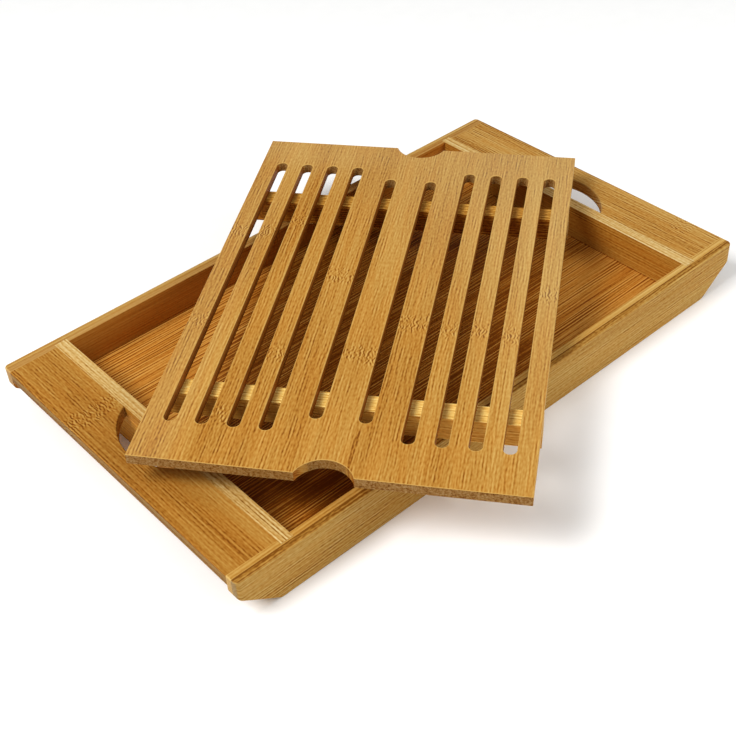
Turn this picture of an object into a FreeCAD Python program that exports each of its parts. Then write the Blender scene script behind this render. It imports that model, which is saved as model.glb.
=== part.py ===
import FreeCAD, Part
import math
import os
import Sketcher

# Bread board with a crumb tray.
# The tray is a shallow box of laminated strips with a gripping board at each end.
# A slotted board, glued up from slats and spacer blocks, lies across the tray, turned,
# with its two battens on the tops of the rails.
# The origin is the middle of the tray's underside: X runs along the tray, the near rail
# is on the -Y side and Z points up.

Vector = FreeCAD.Vector

# The driving dimensions, in millimetres and degrees.
DIMENSIONS = {
    "tray_width": 280,
    "tray_height": 38.5,
    "ply_thickness": 5,
    "undercut_run": 31,
    "undercut_rise": 23.25,
    "undercut_round": 5,
    "rail_corner_round": 3.5,
    "upper_edge_round": 1.2,
    "cavity_length": 389,
    "wall_thickness": 10,
    "housing_web": 1,
    "joint_clearance": 0.2,
    "floor_thickness": 10.5,
    "tongue_thickness": 4,
    "tongue_height": 3,
    "handle_length": 39.5,
    "handle_thickness": 10,
    "handle_lower_round": 1.5,
    "grip_length": 81,
    "grip_depth": 23.3,
    "grip_round": 1.2,
    "dowel_diameter": 6,
    "dowel_in_outer_ply": 3,
    "dowel_in_handle": 16,
    "dowel_spacing": 20,
    "dowel_chamfer": 0.6,
    "dowel_clearance": 0.1,
    "hole_end_clearance": 0.5,
    "board_end_clearance": 2.5,
    "board_side_clearance": 1,
    "board_thickness": 8,
    "board_edge_round": 0.5,
    "board_angle": -52.6,
    "board_x": -11.4,
    "board_y": -12.5,
    "rest_gap": 0.3,
    "slot_width": 9,
    "seam_inset": 0.3,
    "middle_slat_width": 24,
    "outer_slat_width": 12.5,
    "edge_slat_width": 13.5,
    "inner_slot_margin": 49.2,
    "outer_slot_margin": 34.2,
    "outer_slot_count": 4,
    "notch_width": 38.5,
    "notch_depth": 13.5,
    "batten_width": 15,
    "batten_height": 19,
    "near_batten_inset": 68.7,
    "far_batten_inset": 65.8,
    "screw_diameter": 3.5,
    "screw_bite": 4.9,
    "screw_point": 4,
    "screw_sink": 0.4,
    "screw_clearance": 0.15,
    "head_diameter": 7,
    "head_height": 2,
    "recess_width": 3.8,
    "recess_slot": 0.9,
    "recess_depth": 1.4,
}

doc = FreeCAD.newDocument("bread_board")


def fill_sheet():
    """Writes the driving dimensions into a spreadsheet, each cell under its own name."""
    sheet = doc.addObject("Spreadsheet::Sheet", "Sizes")
    for row, (name, value) in enumerate(DIMENSIONS.items(), start=1):
        sheet.set(f"A{row}", name)
        sheet.set(f"B{row}", str(value))
        sheet.setAlias(f"B{row}", name)
    doc.recompute()
    return sheet


SHEET = fill_sheet()

# Lengths that several pieces share, as formulas on the sheet.
HALF_CAVITY = "Sizes.cavity_length / 2"
WALL_OUTSIDE = f"({HALF_CAVITY} + Sizes.wall_thickness)"
HALF_LENGTH = f"({WALL_OUTSIDE} + Sizes.handle_length)"
RAIL_INSIDE = "(Sizes.tray_width / 2 - 2 * Sizes.ply_thickness)"
HALF_PLY = "Sizes.ply_thickness / 2"
GROOVE_DEPTH = "(Sizes.ply_thickness - Sizes.housing_web)"
TONGUE_DEPTH = f"({GROOVE_DEPTH} - Sizes.joint_clearance)"
TONGUE_TOP = "(Sizes.tongue_height + Sizes.tongue_thickness)"
HANDLE_MIDDLE = "(Sizes.tray_height - Sizes.handle_thickness / 2)"
HANDLE_CENTRE = f"({WALL_OUTSIDE} + Sizes.handle_length / 2)"
GRIP_RADIUS = "((Sizes.grip_length ^ 2 / 4 + Sizes.grip_depth ^ 2) / (2 * Sizes.grip_depth))"
DOWEL_HOLE = "(Sizes.dowel_diameter / 2 + Sizes.dowel_clearance)"
HALF_BOARD = f"({HALF_CAVITY} - Sizes.board_end_clearance)"
HALF_BOARD_WIDTH = f"({RAIL_INSIDE} - Sizes.board_side_clearance)"
NOTCH_RADIUS = "((Sizes.notch_width ^ 2 / 4 + Sizes.notch_depth ^ 2) / (2 * Sizes.notch_depth))"
NEAR_BATTEN = f"(-{HALF_BOARD} + Sizes.near_batten_inset + Sizes.batten_width / 2)"
FAR_BATTEN = f"({HALF_BOARD} - Sizes.far_batten_inset - Sizes.batten_width / 2)"
HALF_SLOT = "Sizes.slot_width / 2"
SLOT_PITCH = "(Sizes.outer_slat_width + Sizes.slot_width)"
EDGE_SLOT = f"({HALF_BOARD_WIDTH} - Sizes.edge_slat_width - {HALF_SLOT})"
HEAD_FACE = "(Sizes.batten_height - Sizes.screw_sink)"
SCREW_HOLE = "(Sizes.screw_diameter / 2 + Sizes.screw_clearance)"

# How a sketch counts its own origin and the points of its lines and circles.
ORIGIN = (-1, 1)
START, END, CENTRE = range(1, 4)

PIECES = []


def size(name):
    """The number in one cell of the sheet."""
    return float(SHEET.get(name))


def new_body(label):
    """A body whose label is the name of its piece."""
    body = doc.addObject("PartDesign::Body", label)
    body.Label = label
    PIECES.append(body)
    return body


def origin_plane(body, role):
    """One of the body's own origin planes."""
    return next(item for item in body.Origin.OriginFeatures if item.Role == role)


def new_sketch(body, name, role, offset=None):
    """An empty sketch on an origin plane, moved along the plane's normal by a formula."""
    sketch = body.newObject("Sketcher::SketchObject", name)
    sketch.AttachmentSupport = (origin_plane(body, role), [""])
    sketch.MapMode = "FlatFace"
    if offset:
        sketch.setExpression("AttachmentOffset.Base.z", offset)
    return sketch


def bind(sketch, kind, *arguments):
    """Adds one constraint whose value follows a formula, the last argument."""
    *places, start, formula = arguments
    index = sketch.addConstraint(Sketcher.Constraint(kind, *places, start))
    sketch.setExpression(f"Constraints[{index}]", formula)


def place_point(sketch, geometry, corner, across, up):
    """Ties a point of the sketch to the origin by two formulas."""
    bind(sketch, "DistanceX", *ORIGIN, geometry, corner, 1.0, across)
    bind(sketch, "DistanceY", *ORIGIN, geometry, corner, 1.0, up)


def add_outline(sketch, corners):
    """A closed outline of straight lines through corners given as pairs of formulas."""
    count = len(corners)
    first = sketch.GeometryCount
    turns = [2 * math.pi * index / count for index in range(count + 1)]
    ring = [Vector(math.cos(turn), math.sin(turn), 0) for turn in turns]
    for start, end in zip(ring, ring[1:]):
        sketch.addGeometry(Part.LineSegment(start, end))
    for index, (across, up) in enumerate(corners):
        line = first + index
        following = first + (index + 1) % count
        sketch.addConstraint(Sketcher.Constraint("Coincident", line, END, following, START))
        place_point(sketch, line, START, across, up)


def add_rectangle(sketch, left, right, bottom, top):
    """A rectangle between four formulas."""
    add_outline(sketch, [(left, bottom), (right, bottom), (right, top), (left, top)])


def add_circle(sketch, across, up, radius):
    """A circle whose centre and radius are formulas."""
    index = sketch.addGeometry(Part.Circle(Vector(0, 0, 0), Vector(0, 0, 1), 1))
    place_point(sketch, index, CENTRE, across, up)
    bind(sketch, "Radius", index, 1.0, radius)


def add_slot(sketch, across, reach, start):
    """An upright slot with round ends, whose end circles lie at formulas' places.

    start is a rough middle and half length, from which the sketch is solved.
    """
    upward = Vector(0, 0, 1)
    radius = size("slot_width") / 2
    middle, half = start
    left, right = middle - radius, middle + radius
    top_circle = Part.Circle(Vector(middle, half, 0), upward, radius)
    bottom_circle = Part.Circle(Vector(middle, -half, 0), upward, radius)
    top = sketch.addGeometry(Part.ArcOfCircle(top_circle, 0, math.pi))
    west = sketch.addGeometry(Part.LineSegment(Vector(left, half, 0), Vector(left, -half, 0)))
    bottom = sketch.addGeometry(Part.ArcOfCircle(bottom_circle, math.pi, 2 * math.pi))
    east = sketch.addGeometry(Part.LineSegment(Vector(right, -half, 0), Vector(right, half, 0)))
    loop = [top, west, bottom, east]
    for line, following in zip(loop, loop[1:] + loop[:1]):
        sketch.addConstraint(Sketcher.Constraint("Coincident", line, END, following, START))
    for arc, sign in ((top, ""), (bottom, "-")):
        for corner in (START, END):
            sketch.addConstraint(Sketcher.Constraint("Horizontal", arc, CENTRE, arc, corner))
        place_point(sketch, arc, CENTRE, across, sign + reach)
        bind(sketch, "Radius", arc, radius, HALF_SLOT)


def pad(body, sketch, length, middle=False):
    """Raises the sketch by a formula's length, to one side or both."""
    feature = body.newObject("PartDesign::Pad", sketch.Name + "_pad")
    feature.Profile = sketch
    feature.Midplane = middle
    feature.setExpression("Length", length)
    body.Tip = feature
    doc.recompute()
    return feature


def cut(body, sketch, depth=None, forward=False, middle=False):
    """Cuts the sketch into the body, through all of it where no depth is given."""
    before = body.Shape.Volume
    feature = body.newObject("PartDesign::Pocket", sketch.Name + "_cut")
    feature.Profile = sketch
    feature.Reversed = forward
    feature.Midplane = middle
    if depth:
        feature.setExpression("Length", depth)
    else:
        feature.Type = "ThroughAll"
    body.Tip = feature
    doc.recompute()
    if body.Shape.Volume >= before:
        raise ValueError(f"{feature.Name} removes nothing from {body.Label}")
    return feature


def edge_names(shape, wanted):
    """The names of the edges that a test picks."""
    return [f"Edge{number}" for number, edge in enumerate(shape.Edges, 1) if wanted(edge)]


def round_edges(body, name, wanted, radius):
    """Rounds the edges that a test picks, with a formula's radius."""
    base = body.Tip
    feature = body.newObject("PartDesign::Fillet", name)
    feature.Base = (base, edge_names(base.Shape, wanted))
    feature.setExpression("Radius", radius)
    body.Tip = feature
    doc.recompute()
    return feature


def is_near(value, goal):
    """Whether two lengths agree to a thousandth of a millimetre."""
    return abs(value - goal) < 0.001


def is_crosswise(edge):
    """Whether an edge runs along Y."""
    return is_near(edge.BoundBox.XLength, 0) and is_near(edge.BoundBox.ZLength, 0)


def crosswise_at(along, height):
    """A test for edges along Y at a distance from the middle and a height."""

    def wanted(edge):
        middle = edge.BoundBox.Center
        there = is_near(abs(middle.x), along) and is_near(middle.z, height)
        return is_crosswise(edge) and there

    return wanted


def around_face(side, place):
    """A test for edges that lie wholly in one plane across the axis that side names."""

    def wanted(edge):
        box = edge.BoundBox
        low = getattr(box, side + "Min")
        high = getattr(box, side + "Max")
        return is_near(low, place) and is_near(high, place)

    return wanted


def turn_round(body):
    """Turns a piece half a turn about the upright axis."""
    body.Placement = FreeCAD.Placement(Vector(), FreeCAD.Rotation(Vector(0, 0, 1), 180))


def lay_on_rails(body):
    """Gives a piece of the slotted board its turned place on top of the rails."""
    body.Placement = FreeCAD.Placement(Vector(), FreeCAD.Rotation(Vector(0, 0, 1), 1))
    body.setExpression("Placement.Rotation.Angle", "Sizes.board_angle")
    body.setExpression("Placement.Base.x", "Sizes.board_x")
    body.setExpression("Placement.Base.y", "Sizes.board_y")
    body.setExpression(
        "Placement.Base.z", "Sizes.tray_height + Sizes.rest_gap + Sizes.batten_height"
    )


# Rails: each is two strips glued face to face, with an undercut at both ends.
# A strip's own frame has the tray's inside on its +Y side.


def rail_profile(body):
    """The side view of a rail strip, raised to its thickness."""
    sketch = new_sketch(body, body.Label + "_profile", "XZ_Plane")
    foot = f"({HALF_LENGTH} - Sizes.undercut_run)"
    add_outline(
        sketch,
        [
            (f"-{foot}", "0"),
            (foot, "0"),
            (HALF_LENGTH, "Sizes.undercut_rise"),
            (HALF_LENGTH, "Sizes.tray_height"),
            (f"-{HALF_LENGTH}", "Sizes.tray_height"),
            (f"-{HALF_LENGTH}", "Sizes.undercut_rise"),
        ],
    )
    box = pad(body, sketch, "Sizes.ply_thickness", middle=True).Shape.BoundBox
    undercut = crosswise_at(box.XMax, size("undercut_rise"))
    round_edges(body, body.Label + "_undercut", undercut, "Sizes.undercut_round")
    foot = crosswise_at(box.XMax - size("undercut_run"), box.ZMin)
    round_edges(body, body.Label + "_foot", foot, "Sizes.undercut_round")


def dowel_places(sketch, radius, middle, sides):
    """Circles for the two dowels of each handle board's joint, in a side view."""
    for side in sides:
        for step in ("-", "+"):
            along = f"{side}({middle} {step} Sizes.dowel_spacing / 2)"
            add_circle(sketch, along, HANDLE_MIDDLE, radius)


def inner_strip(body):
    """Softened upper ends, housings for the end walls, a groove for the floor and the dowel holes."""
    box = body.Shape.BoundBox
    upper_ends = crosswise_at(box.XMax, box.ZMax)
    round_edges(body, body.Label + "_upper_ends", upper_ends, "Sizes.upper_edge_round")
    face = HALF_PLY
    housings = new_sketch(body, body.Label + "_housings", "XY_Plane")
    bottom = f"({face} - {GROOVE_DEPTH})"
    add_rectangle(housings, HALF_CAVITY, WALL_OUTSIDE, bottom, face)
    add_rectangle(housings, f"-{WALL_OUTSIDE}", f"-{HALF_CAVITY}", bottom, face)
    cut(body, housings, forward=True)
    groove = new_sketch(body, body.Label + "_groove", "YZ_Plane")
    add_rectangle(groove, bottom, face, "Sizes.tongue_height", TONGUE_TOP)
    cut(body, groove, "Sizes.cavity_length", middle=True)
    holes = new_sketch(body, body.Label + "_holes", "XZ_Plane")
    dowel_places(holes, DOWEL_HOLE, HANDLE_CENTRE, ("", "-"))
    cut(body, holes, "2 * Sizes.ply_thickness", middle=True)


def add_corner_waste(sketch, side):
    """The waste outside one rounded corner of an outer strip, at the +X end or, with side -1, the other.

    The sketch is solved from a rough middle and from lines laid out in a row.
    """
    radius = size("rail_corner_round")
    sign = "" if side > 0 else "-"
    near = f"({HALF_LENGTH} - Sizes.rail_corner_round)"
    beyond = f"({HALF_LENGTH} + Sizes.rail_corner_round)"
    inner = f"(Sizes.rail_corner_round - {HALF_PLY})"
    outer = f"(-{HALF_PLY} - Sizes.rail_corner_round)"
    middle = Vector(side * (size("cavity_length") + size("handle_length")) / 2, 0, 0)
    turns = (-math.pi / 2, 0) if side > 0 else (math.pi, 1.5 * math.pi)
    circle = Part.Circle(middle, Vector(0, 0, 1), radius)
    arc = sketch.addGeometry(Part.ArcOfCircle(circle, *turns))
    on_end, on_face = (END, START) if side > 0 else (START, END)
    place_point(sketch, arc, CENTRE, sign + near, inner)
    bind(sketch, "Radius", arc, radius, "Sizes.rail_corner_round")
    sketch.addConstraint(Sketcher.Constraint("Horizontal", arc, CENTRE, arc, on_end))
    sketch.addConstraint(Sketcher.Constraint("Vertical", arc, CENTRE, arc, on_face))
    reach = Vector(side * radius, 0, 0)
    ring = [middle + reach * step for step in (1, 2, 3, 4, 0)]
    lines = [
        sketch.addGeometry(Part.LineSegment(start, end)) for start, end in zip(ring, ring[1:])
    ]
    sketch.addConstraint(Sketcher.Constraint("Coincident", arc, on_end, lines[0], START))
    for line, following in zip(lines, lines[1:]):
        sketch.addConstraint(Sketcher.Constraint("Coincident", line, END, following, START))
    sketch.addConstraint(Sketcher.Constraint("Coincident", lines[-1], END, arc, on_face))
    for line, (across, up) in zip(lines, ((beyond, inner), (beyond, outer), (near, outer))):
        place_point(sketch, line, END, sign + across, up)


def outer_strip(body):
    """Rounded corners, the blind ends of the dowel holes and the softened upper edges."""
    corners = new_sketch(body, body.Label + "_corners", "XY_Plane")
    for side in (1, -1):
        add_corner_waste(corners, side)
    cut(body, corners, forward=True)
    holes = new_sketch(body, body.Label + "_holes", "XZ_Plane", f"-{HALF_PLY}")
    dowel_places(holes, DOWEL_HOLE, HANDLE_CENTRE, ("", "-"))
    depth = "Sizes.dowel_in_outer_ply + Sizes.hole_end_clearance"
    cut(body, holes, depth, forward=True)
    glued = size("ply_thickness") / 2
    on_top = around_face("Z", size("tray_height"))

    def is_upper_rim(edge):
        return on_top(edge) and edge.BoundBox.YMin < glued - 0.001

    round_edges(body, body.Label + "_upper_rim", is_upper_rim, "Sizes.upper_edge_round")


def rail(name, far):
    """The two strips of one rail; the far rail is turned half round."""
    for layer, steps, shape in (("inner", "1.5", inner_strip), ("outer", "0.5", outer_strip)):
        body = new_body(f"{name}_{layer}_ply")
        rail_profile(body)
        shape(body)
        outwards = f"(Sizes.tray_width / 2 - {steps} * Sizes.ply_thickness)"
        if far:
            turn_round(body)
        body.setExpression("Placement.Base.y", outwards if far else f"-{outwards}")


# End walls: upright boards between the rails, let into their inner strips.


def end_wall(name, left):
    """One end wall, from its inner face outwards along X."""
    body = new_body(name)
    plan = new_sketch(body, name + "_plan", "XY_Plane")
    reach = f"({RAIL_INSIDE} + {TONGUE_DEPTH})"
    add_rectangle(plan, "0", "Sizes.wall_thickness", f"-{reach}", reach)
    pad(body, plan, "Sizes.tray_height")
    groove = new_sketch(body, name + "_groove", "XZ_Plane")
    add_rectangle(groove, "0", GROOVE_DEPTH, "Sizes.tongue_height", TONGUE_TOP)
    cut(body, groove, "Sizes.tray_width", middle=True)
    if left:
        turn_round(body)
    body.setExpression("Placement.Base.x", f"-{HALF_CAVITY}" if left else HALF_CAVITY)


# Floor: one panel flush with the underside, with a tongue on all four edges.


def floor_panel():
    """The floor and its tongues, which stop short at the corners."""
    body = new_body("floor_panel")
    plan = new_sketch(body, "floor_plan", "XY_Plane")
    add_rectangle(plan, f"-{HALF_CAVITY}", HALF_CAVITY, f"-{RAIL_INSIDE}", RAIL_INSIDE)
    pad(body, plan, "Sizes.floor_thickness")
    tip = f"({HALF_CAVITY} + {TONGUE_DEPTH})"
    ends = new_sketch(body, "floor_end_tongues", "XY_Plane", "Sizes.tongue_height")
    add_rectangle(ends, f"-{tip}", tip, f"-{RAIL_INSIDE}", RAIL_INSIDE)
    pad(body, ends, "Sizes.tongue_thickness")
    reach = f"({RAIL_INSIDE} + {TONGUE_DEPTH})"
    sides = new_sketch(body, "floor_side_tongues", "XY_Plane", "Sizes.tongue_height")
    add_rectangle(sides, f"-{HALF_CAVITY}", HALF_CAVITY, f"-{reach}", reach)
    pad(body, sides, "Sizes.tongue_thickness")


# Handle boards: level with the rails' tops, each with a D-shaped grip beside the wall.


def handle_board(name, left):
    """One handle board, from the end wall's outer face outwards along X."""
    body = new_body(name)
    base = "(Sizes.tray_height - Sizes.handle_thickness)"
    plan = new_sketch(body, name + "_plan", "XY_Plane", base)
    add_rectangle(plan, "0", "Sizes.handle_length", f"-{RAIL_INSIDE}", RAIL_INSIDE)
    box = pad(body, plan, "Sizes.handle_thickness").Shape.BoundBox
    upper = crosswise_at(box.XMax, box.ZMax)
    round_edges(body, name + "_upper", upper, "Sizes.upper_edge_round")
    lower = crosswise_at(box.XMax, box.ZMin)
    round_edges(body, name + "_lower", lower, "Sizes.handle_lower_round")
    grip = new_sketch(body, name + "_grip", "XY_Plane")
    add_circle(grip, f"Sizes.grip_depth - {GRIP_RADIUS}", "0", GRIP_RADIUS)
    cut(body, grip, forward=True)

    def is_grip_rim(edge):
        return isinstance(edge.Curve, Part.Circle) and is_near(edge.BoundBox.ZLength, 0)

    round_edges(body, name + "_grip_rim", is_grip_rim, "Sizes.grip_round")
    depth = "Sizes.dowel_in_handle + Sizes.hole_end_clearance"
    for side, sign, forward in (("near", "", False), ("far", "-", True)):
        holes = new_sketch(body, f"{name}_{side}_holes", "XZ_Plane", f"{sign}{RAIL_INSIDE}")
        dowel_places(holes, DOWEL_HOLE, "(Sizes.handle_length / 2)", ("",))
        cut(body, holes, depth, forward=forward)
    if left:
        turn_round(body)
    body.setExpression("Placement.Base.x", f"-{WALL_OUTSIDE}" if left else WALL_OUTSIDE)


def handle_dowels():
    """The eight dowels that hold the handle boards between the rails."""
    body = new_body("handle_dowels")
    in_rail = "Sizes.ply_thickness + Sizes.dowel_in_outer_ply"
    start = f"{RAIL_INSIDE} - Sizes.dowel_in_handle"
    length = f"{in_rail} + Sizes.dowel_in_handle"
    ends = new_sketch(body, "near_dowel_ends", "XZ_Plane", start)
    dowel_places(ends, "Sizes.dowel_diameter / 2", HANDLE_CENTRE, ("", "-"))
    near = pad(body, ends, length)
    far = body.newObject("PartDesign::Mirrored", "far_dowels")
    far.Originals = [near]
    far.MirrorPlane = (origin_plane(body, "XZ_Plane"), [""])
    body.Tip = far
    doc.recompute()
    chamfer = body.newObject("PartDesign::Chamfer", "dowel_chamfers")
    chamfer.Base = (far, edge_names(far.Shape, lambda edge: isinstance(edge.Curve, Part.Circle)))
    chamfer.setExpression("Size", "Sizes.dowel_chamfer")
    body.Tip = chamfer


# Slotted board: its own frame has its underside at z = 0, X across it and Y along the slots.
# It is glued up from a slat beside each slot and a spacer block beyond each slot's end.


def slot_place(number):
    """A formula for a slot's distance from the board's middle line, counted outwards."""
    if number == 0:
        return f"(Sizes.middle_slat_width / 2 + {HALF_SLOT})"
    return f"({EDGE_SLOT} - {slots_each_side() - 1 - number} * {SLOT_PITCH})"


def slots_each_side():
    """How many slots lie on one side of the board's middle line."""
    return int(size("outer_slot_count")) + 1


def screw_place():
    """The middle of the last slat but one, which takes the outer screws."""
    last = slots_each_side() - 1
    return f"(({slot_place(last - 1)} + {slot_place(last)}) / 2)"


def screw_circles(sketch, middle, radius):
    """Three circles on the middle line of a batten."""
    for place in (f"-{screw_place()}", "0", screw_place()):
        add_circle(sketch, place, middle, radius)


def routed_board():
    """The whole board with its slots, end notches and pilot holes, before it is divided."""
    body = doc.addObject("PartDesign::Body", "routed_board")
    plan = new_sketch(body, "board_plan", "XY_Plane")
    add_rectangle(
        plan, f"-{HALF_BOARD_WIDTH}", HALF_BOARD_WIDTH, f"-{HALF_BOARD}", HALF_BOARD
    )
    pad(body, plan, "Sizes.board_thickness")
    notches = new_sketch(body, "end_notches", "XY_Plane")
    beyond = f"({HALF_BOARD} + {NOTCH_RADIUS} - Sizes.notch_depth)"
    add_circle(notches, "0", beyond, NOTCH_RADIUS)
    add_circle(notches, "0", f"-{beyond}", NOTCH_RADIUS)
    cut(body, notches, forward=True)
    slots = new_sketch(body, "slots", "XY_Plane")
    half_cavity = size("cavity_length") / 2
    for sign, side in (("", 1), ("-", -1)):
        for number in range(slots_each_side()):
            margin = "outer_slot_margin" if number else "inner_slot_margin"
            reach = f"({HALF_BOARD} - Sizes.{margin} - {HALF_SLOT})"
            outwards = (number + 1) * 2 * size("slot_width")
            start = (side * outwards, half_cavity - size(margin))
            add_slot(slots, sign + slot_place(number), reach, start)
    cut(body, slots, forward=True)
    for face, height in (("lower", 0), ("upper", size("board_thickness"))):
        rims = around_face("Z", height)
        round_edges(body, f"board_{face}_rims", rims, "Sizes.board_edge_round")
    pilots = new_sketch(body, "pilot_holes", "XY_Plane")
    for middle in (NEAR_BATTEN, FAR_BATTEN):
        screw_circles(pilots, middle, SCREW_HOLE)
    cut(body, pilots, "Sizes.screw_bite + Sizes.hole_end_clearance", forward=True)
    return body


def lane(name, left, right):
    """A block over the board's full length between two places across it."""
    block = doc.addObject("Part::Box", name)
    block.setExpression("Length", f"{right} - {left}")
    block.setExpression("Width", f"2 * {HALF_BOARD}")
    block.setExpression("Height", "Sizes.board_thickness")
    block.setExpression("Placement.Base.x", left)
    block.setExpression("Placement.Base.y", f"-{HALF_BOARD}")
    return block


def part_of_board(name, board, lanes):
    """The piece of the routed board that lies in the given lanes."""
    region = lanes[0]
    if len(lanes) > 1:
        region = doc.addObject("Part::Compound", name + "_lanes")
        region.Links = lanes
    piece = doc.addObject("Part::Common", name)
    piece.Label = name
    piece.Base = board
    piece.Tool = region
    lay_on_rails(piece)
    PIECES.append(piece)
    return piece


def slotted_board():
    """The slats, counted across the board, and the spacer blocks between their ends."""
    board = routed_board()
    count = slots_each_side()
    half_block = f"({HALF_SLOT} - Sizes.seam_inset)"
    edges = [f"-{HALF_BOARD_WIDTH}"]
    for sign, numbers in (("-", range(count - 1, -1, -1)), ("", range(count))):
        for number in numbers:
            middle = sign + slot_place(number)
            edges += [f"({middle} - {half_block})", f"({middle} + {half_block})"]
    edges.append(HALF_BOARD_WIDTH)
    for number, (left, right) in enumerate(zip(edges[::2], edges[1::2]), start=1):
        name = f"slat_{number:02d}"
        part_of_board(name, board, [lane(name + "_lane", left, right)])
    between = [
        lane(f"slot_{number:02d}_lane", left, right)
        for number, (left, right) in enumerate(zip(edges[1::2], edges[2::2]), start=1)
    ]
    part_of_board("spacer_blocks", board, between)


def batten(name, middle):
    """One batten under the slotted board, with countersunk screw holes."""
    body = new_body(name)
    plan = new_sketch(body, name + "_plan", "XY_Plane", "-Sizes.batten_height")
    half = "Sizes.batten_width / 2"
    add_rectangle(
        plan, f"-{HALF_BOARD_WIDTH}", HALF_BOARD_WIDTH, f"{middle} - {half}", f"{middle} + {half}"
    )
    pad(body, plan, "Sizes.batten_height")
    around = around_face("Z", -size("batten_height"))
    round_edges(body, name + "_lower_edge", around, "Sizes.board_edge_round")
    holes = new_sketch(body, name + "_holes", "XY_Plane")
    screw_circles(holes, middle, SCREW_HOLE)
    cut(body, holes)
    mouths = new_sketch(body, name + "_mouths", "XY_Plane", f"-{HEAD_FACE}")
    screw_circles(mouths, middle, "(Sizes.head_diameter / 2 + Sizes.screw_clearance)")
    cut(body, mouths)
    seats = new_sketch(body, name + "_seats", "XY_Plane", f"-{HEAD_FACE}")
    screw_circles(seats, middle, "(Sizes.head_diameter / 2 + Sizes.screw_clearance)")
    seat = cut(body, seats, "Sizes.head_height", forward=True)
    seat.setExpression(
        "TaperAngle",
        "-atan((Sizes.head_diameter - Sizes.screw_diameter) / 2 / Sizes.head_height)",
    )
    lay_on_rails(body)


def screw_profile(body, name, place, middle):
    """Half the outline of a screw, beside an upright axis at its place."""
    sketch = new_sketch(body, name, "XZ_Plane", f"-{middle}")
    sketch.setExpression("AttachmentOffset.Base.x", place)
    shank = "Sizes.screw_diameter / 2"
    tip = "Sizes.screw_bite"
    add_outline(
        sketch,
        [
            ("0", f"-{HEAD_FACE}"),
            ("Sizes.head_diameter / 2", f"-{HEAD_FACE}"),
            (shank, f"Sizes.head_height - {HEAD_FACE}"),
            (shank, f"{tip} - Sizes.screw_point"),
            ("0", tip),
        ],
    )
    return sketch


def add_cross(sketch, across, up):
    """The outline of a cross recess round a place given by two formulas."""
    arm = "Sizes.recess_width / 2"
    flank = "Sizes.recess_slot / 2"
    quarter = [(arm, flank), (flank, flank), (flank, arm)]
    corners = []
    for signs, points in (
        ("++", quarter),
        ("-+", quarter[::-1]),
        ("--", quarter),
        ("+-", quarter[::-1]),
    ):
        for right, top in points:
            corners.append((f"{across} {signs[0]} {right}", f"{up} {signs[1]} {top}"))
    add_outline(sketch, corners)


def batten_screws():
    """Six countersunk screws that hold the battens from below."""
    body = new_body("batten_screws")
    recesses = new_sketch(body, "screw_recesses", "XY_Plane", f"-{HEAD_FACE}")
    for batten_number, middle in enumerate((NEAR_BATTEN, FAR_BATTEN)):
        for screw_number, place in enumerate((f"-{screw_place()}", "0", screw_place())):
            name = f"screw_{batten_number}_{screw_number}"
            profile = screw_profile(body, name, place, middle)
            turn = body.newObject("PartDesign::Revolution", name + "_turn")
            turn.Profile = profile
            turn.ReferenceAxis = (profile, ["V_Axis"])
            turn.Angle = 360
            body.Tip = turn
            add_cross(recesses, place, middle)
    doc.recompute()
    cut(body, recesses, "Sizes.recess_depth", forward=True)
    lay_on_rails(body)


def finish():
    """Checks every object and writes each piece to its own file."""
    doc.recompute()
    for item in doc.Objects:
        if "Invalid" in item.State or "Error" in item.State:
            raise ValueError(f"{item.Name} failed: {item.State}")
        if item.TypeId == "Sketcher::SketchObject" and not item.FullyConstrained:
            raise ValueError(f"{item.Name} is not held by its sizes")
    os.makedirs("parts", exist_ok=True)
    for piece in PIECES:
        if piece.Shape.isNull() or not piece.Shape.isValid():
            raise ValueError(f"{piece.Label} has no sound shape")
        piece.Shape.exportStep(f"parts/{piece.Label}.step")
        print(f"{piece.Label}: {len(piece.Shape.Solids)} solids, {piece.Shape.Volume:.0f} mm3")


rail("rail_near", far=False)
rail("rail_far", far=True)
end_wall("end_wall_left", left=True)
end_wall("end_wall_right", left=False)
floor_panel()
handle_board("handle_board_left", left=True)
handle_board("handle_board_right", left=False)
handle_dowels()
slotted_board()
batten("batten_near", NEAR_BATTEN)
batten("batten_far", FAR_BATTEN)
batten_screws()
finish()
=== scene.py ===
import math
from collections import namedtuple

import bpy
from mathutils import Matrix, Vector

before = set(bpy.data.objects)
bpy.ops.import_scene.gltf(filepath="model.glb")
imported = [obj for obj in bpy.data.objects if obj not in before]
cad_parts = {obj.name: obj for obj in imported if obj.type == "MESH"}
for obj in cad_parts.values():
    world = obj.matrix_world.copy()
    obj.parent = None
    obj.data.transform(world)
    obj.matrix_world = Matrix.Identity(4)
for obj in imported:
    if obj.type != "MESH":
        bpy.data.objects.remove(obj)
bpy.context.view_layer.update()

# A bread board with a crumb tray, of bamboo laminated from strips, in a white studio.
# Lengths inside the bamboo's materials are in millimetres, and all others are in metres.

MM = 0.001

# The slotted board lies turned on the rails. Its own axes run across the slots and along them.
BOARD_TURN = math.radians(-52.6)
BOARD_MIDDLE = (-11.4, -12.5)

# Fibre directions.
ALONG_X = math.radians(-90)
ALONG_Y = 0.0
ALONG_SLOTS = BOARD_TURN
ACROSS_SLOTS = BOARD_TURN - math.radians(90)


# Building a material
# -------------------

# A draw of noise is shifted along the three axes by its seed times these.
SEED_SHIFT = (1.0, 1.7, 2.3)
SPECULAR_SOCKET = "Specular IOR Level"


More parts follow.
